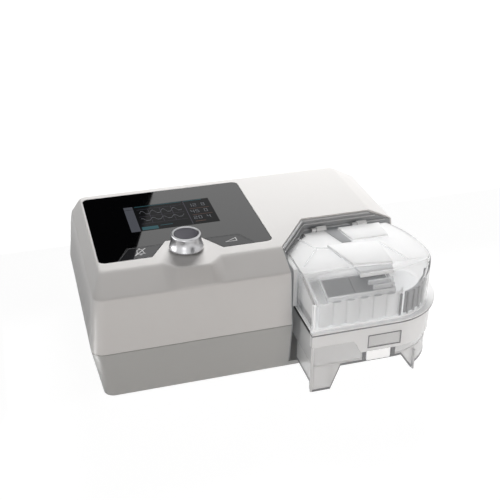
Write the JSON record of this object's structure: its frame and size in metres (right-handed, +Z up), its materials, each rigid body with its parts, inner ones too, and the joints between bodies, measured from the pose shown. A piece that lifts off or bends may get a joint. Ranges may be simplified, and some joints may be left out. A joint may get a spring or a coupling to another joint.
{
  "type": "bilevel breathing machine",
  "caption": "Bedside bilevel breathing machine: dark glass front panel with display, push-and-turn dial and touch keys, and a slide-out water tank with a hinged lid.",
  "frame": {"origin": "on the table, under the middle of the whole machine", "axes": "+X to the machine's right, +Y to its back, where the air port is, +Z up; the front with the dial faces -Y"},
  "size_m": [0.2712, 0.2154, 0.1118],
  "materials": {
    "white_cover": "fine satin texture",
    "grey_tray": "fine satin texture",
    "dark_trim": "satin",
    "soft_black": "matte",
    "silicone": "matte, translucent",
    "steel": "bright",
    "cover_glass": "polished, dark printed back",
    "gloss_black": "gloss",
    "display": "gloss",
    "circuit_board": "solder mask",
    "black_plastic": "matte",
    "turned_metal": "turned satin",
    "violet_grey": "satin",
    "inner_plastic": "as moulded",
    "foam": "open cell foam",
    "filter_fibre": "felted fibre",
    "brass_contact": "bright",
    "card_blue": "satin",
    "heater_metal": "black anodised edge, bare top",
    "clear_plastic": "clear, polished",
    "white_part": "satin"
  },
  "bodies": {
    "chassis": {"upper_housing": "white_cover", "lower_housing": "grey_tray", "bay_liner": "dark_trim", "rubber_feet": "soft_black", "case_screws": "steel", "glass_panel": "cover_glass", "display_module": "display", "display_frame": "inner_plastic", "panel_board": "circuit_board", "main_board": "circuit_board", "board_screws": "steel", "key_switches": "black_plastic", "blower_drive": "black_plastic", "dial_encoder": "steel", "muffler_box": "inner_plastic", "muffler_lid": "inner_plastic", "muffler_foam": "foam", "blower_mounts": "silicone", "blower_volute": "inner_plastic", "blower_cover": "inner_plastic", "blower_motor": "steel", "inlet_duct": "inner_plastic", "outlet_duct": "inner_plastic", "outlet_port": "dark_trim", "port_seals": "silicone", "filter_frame": "dark_trim", "air_filter": "filter_fibre", "power_inlet": "black_plastic", "power_contacts": "brass_contact", "card_reader": "black_plastic", "heater_base": "dark_trim", "heater_springs": "steel"},
    "plunger": {"dial_plunger": "white_part"},
    "dial": {"dial_ring": "turned_metal", "dial_disc": "violet_grey", "dial_shaft": "steel"},
    "mute": {"mute_key": "gloss_black"},
    "ramp": {"ramp_key": "gloss_black"},
    "blower_wheel": {"impeller": "white_part"},
    "heater": {"heater_plate": "heater_metal"},
    "filter_door": {"filter_cover": "grey_tray"},
    "card": {"memory_card": "card_blue"},
    "tank": {"tank_base": "clear_plastic", "tank_skirt": "clear_plastic", "conductive_plate": "heater_metal", "lid_gasket": "silicone", "latch_catch": "white_part", "hinge_pins": "steel"},
    "lid": {"tank_lid": "clear_plastic", "splash_baffle": "clear_plastic", "splash_plate": "white_part"},
    "latch": {"lid_latch": "clear_plastic"}
  },
  "joints": [
    {"name": "dial_push", "type": "slide", "parent": "chassis", "child": "plunger", "axis": [0, 0, -1], "range_m": [0, 0.0006], "stiffness_N_per_m": 1500, "springref_m": -0.0005},
    {"name": "dial_turn", "type": "hinge", "parent": "plunger", "child": "dial", "pos_m": [-0.05425, -0.03005, 0.0996], "axis": [0, 0, 1], "continuous": true},
    {"name": "mute_press", "type": "slide", "parent": "chassis", "child": "mute", "axis": [0, 0, -1], "range_m": [0, 0.0005], "stiffness_N_per_m": 1500, "springref_m": -0.0005},
    {"name": "ramp_press", "type": "slide", "parent": "chassis", "child": "ramp", "axis": [0, 0, -1], "range_m": [0, 0.0005], "stiffness_N_per_m": 1500, "springref_m": -0.0005},
    {"name": "impeller_spin", "type": "hinge", "parent": "chassis", "child": "blower_wheel", "pos_m": [-0.06965, 0.02825, 0.07], "axis": [0, 0, 1], "continuous": true},
    {"name": "heater_press", "type": "slide", "parent": "chassis", "child": "heater", "axis": [0, 0, -1], "range_m": [0, 0.0012], "stiffness_N_per_m": 2000, "springref_m": -0.001, "deforming": ["heater_springs"]},
    {"name": "filter_pull", "type": "slide", "parent": "chassis", "child": "filter_door", "axis": [0, 1, 0], "range_m": [0, 0.015]},
    {"name": "card_pull", "type": "slide", "parent": "chassis", "child": "card", "axis": [0, 1, 0], "range_m": [0, 0.02]},
    {"name": "tank_slide", "type": "slide", "parent": "chassis", "child": "tank", "axis": [0, -1, 0], "range_m": [0, 0.1]},
    {"name": "lid_hinge", "type": "hinge", "parent": "tank", "child": "lid", "pos_m": [0.06885, -0.01555, 0.0906], "axis": [-1, 0, 0], "range_deg": [0, 85]},
    {"name": "latch_press", "type": "slide", "parent": "lid", "child": "latch", "axis": [0, 1, 0], "range_m": [0, 0.0006], "stiffness_N_per_m": 1500, "springref_m": -0.0005}
  ]
}
